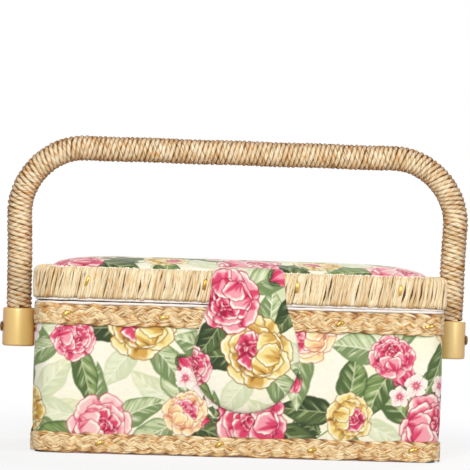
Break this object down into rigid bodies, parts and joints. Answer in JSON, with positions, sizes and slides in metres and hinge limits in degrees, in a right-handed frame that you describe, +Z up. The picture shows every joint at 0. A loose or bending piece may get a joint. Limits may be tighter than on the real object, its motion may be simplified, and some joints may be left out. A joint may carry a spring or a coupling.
{
  "type": "sewing box",
  "caption": "Fabric-covered sewing box with a padded raffia-rimmed lid on a cloth hinge, a magnetic closing tab and a straw-wound swinging handle.",
  "frame": {"origin": "on the surface that the box stands on, under the middle of its walls", "axes": "+Z up, +X to the right along the front, the front faces -Y"},
  "size_m": [0.2216, 0.1127, 0.1461],
  "materials": {
    "printed_cloth": "padded cotton with a floral print on cream",
    "satin": "off-white satin lining and binding",
    "straw": "twisted and plaited straw",
    "raffia": "flat raffia strips",
    "board": "grey-brown box board",
    "foam": "soft wadding",
    "cane": "bent cane",
    "gold_plastic": "satin gold moulding",
    "brass": "plain brass"
  },
  "bodies": {
    "box": {"base_cloth": "printed_cloth", "bottom_board": "board", "front_board": "board", "back_board": "board", "left_board": "board", "right_board": "board", "wall_cover": "printed_cloth", "floor_pad": "satin", "lining_front": "satin", "lining_back": "satin", "lining_left": "satin", "lining_right": "satin", "lip_binding": "satin", "top_braid": "straw", "bottom_braid": "straw", "keeper_plate": "brass", "hinge_tape": "satin", "left_washer": "brass", "right_washer": "brass", "left_bush": "brass", "right_bush": "brass", "left_rivet": "brass", "right_rivet": "brass"},
    "lid": {"lid_lining": "satin", "lid_board": "board", "rim_core": "cane", "rim_wrap": "raffia", "lid_foam": "foam", "lid_cover": "printed_cloth", "tab_strap": "printed_cloth"},
    "tab": {"tab_flap": "printed_cloth", "tab_magnet": "brass"},
    "handle": {"left_cap": "gold_plastic", "right_cap": "gold_plastic", "handle_core": "cane", "handle_wrap": "straw"}
  },
  "joints": [
    {"name": "lid_hinge", "type": "hinge", "parent": "box", "child": "lid", "pos_m": [0, 0.05395, 0.06965], "axis": [-1, 0, 0], "range_deg": [0, 95], "deforming": ["hinge_tape"]},
    {"name": "tab_hinge", "type": "hinge", "parent": "lid", "child": "tab", "pos_m": [0.0028, -0.058, 0.0707], "axis": [-1, 0, 0], "range_deg": [0, 100]},
    {"name": "handle_swing", "type": "hinge", "parent": "box", "child": "handle", "pos_m": [0, 0, 0.05505], "axis": [-1, 0, 0], "range_deg": [0, 120]}
  ],
  "couplings": [
    {"joint": "handle_swing", "follows": "lid_hinge", "ratio": 1.25}
  ]
}
